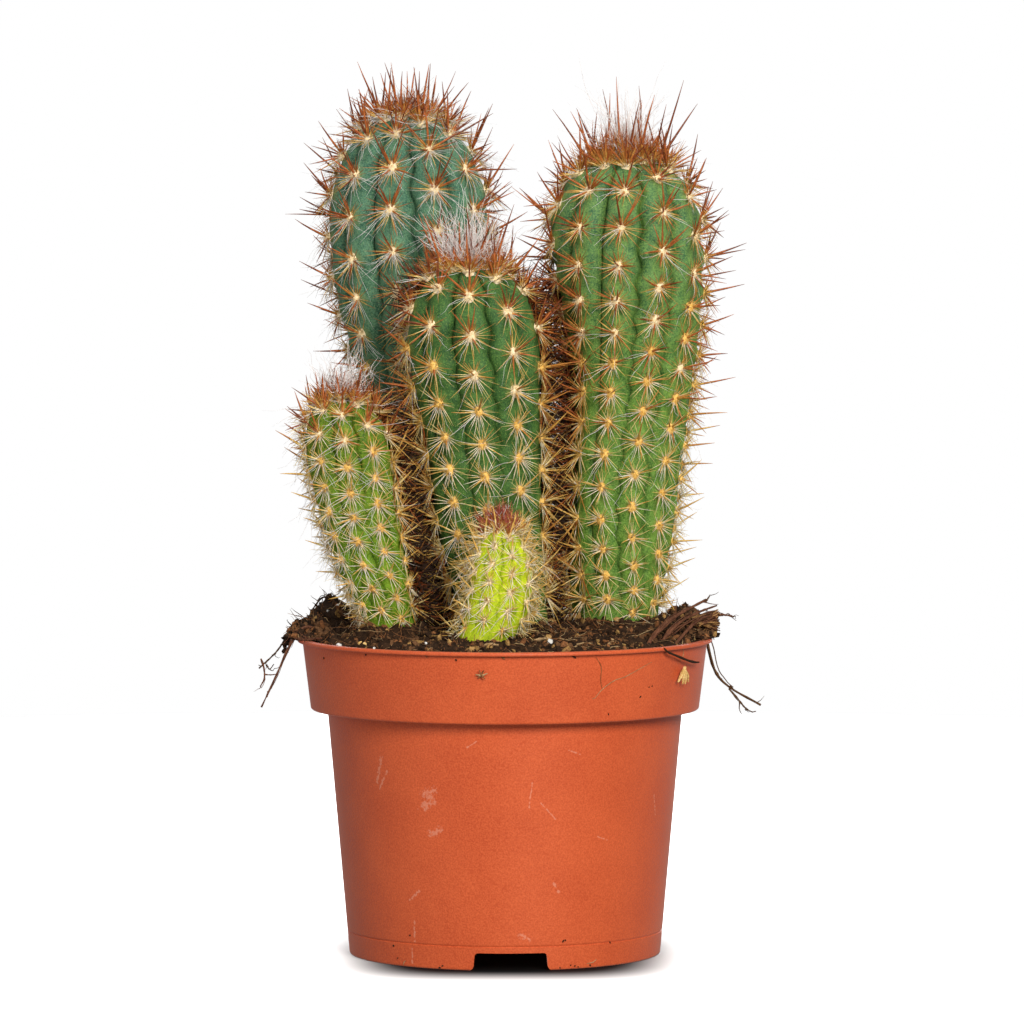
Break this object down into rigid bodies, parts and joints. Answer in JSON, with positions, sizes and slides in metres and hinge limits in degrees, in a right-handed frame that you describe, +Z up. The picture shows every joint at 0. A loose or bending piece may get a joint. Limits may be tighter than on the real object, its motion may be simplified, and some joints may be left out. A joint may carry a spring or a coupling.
{
  "type": "potted columnar cactus",
  "caption": "Cluster of ribbed, spiny columnar cactus stems growing in potting soil, in a round terracotta-coloured nursery pot with a stepped collar.",
  "frame": {"origin": "on the floor, on the axis of the pot", "axes": "+Z up, -Y towards the viewer of the picture, +X to the viewer's right"},
  "size_m": [0.1277, 0.1061, 0.226],
  "materials": {
    "pot_plastic": "satin moulded plastic, lightly scuffed and dusty",
    "potting_soil": "matt, crumbly and fibrous",
    "skin_right": "satin, finely speckled",
    "skin_centre": "satin, finely speckled",
    "skin_back_left": "satin with a faint bluish bloom",
    "skin_left_small": "satin, finely speckled",
    "skin_front_tiny": "satin, translucent young growth"
  },
  "bodies": {
    "root": {"pot": "pot_plastic", "soil": "potting_soil", "stem_right": "skin_right", "stem_centre": "skin_centre", "stem_back_left": "skin_back_left", "stem_left_small": "skin_left_small", "stem_front_tiny": "skin_front_tiny"}
  },
  "joints": []
}
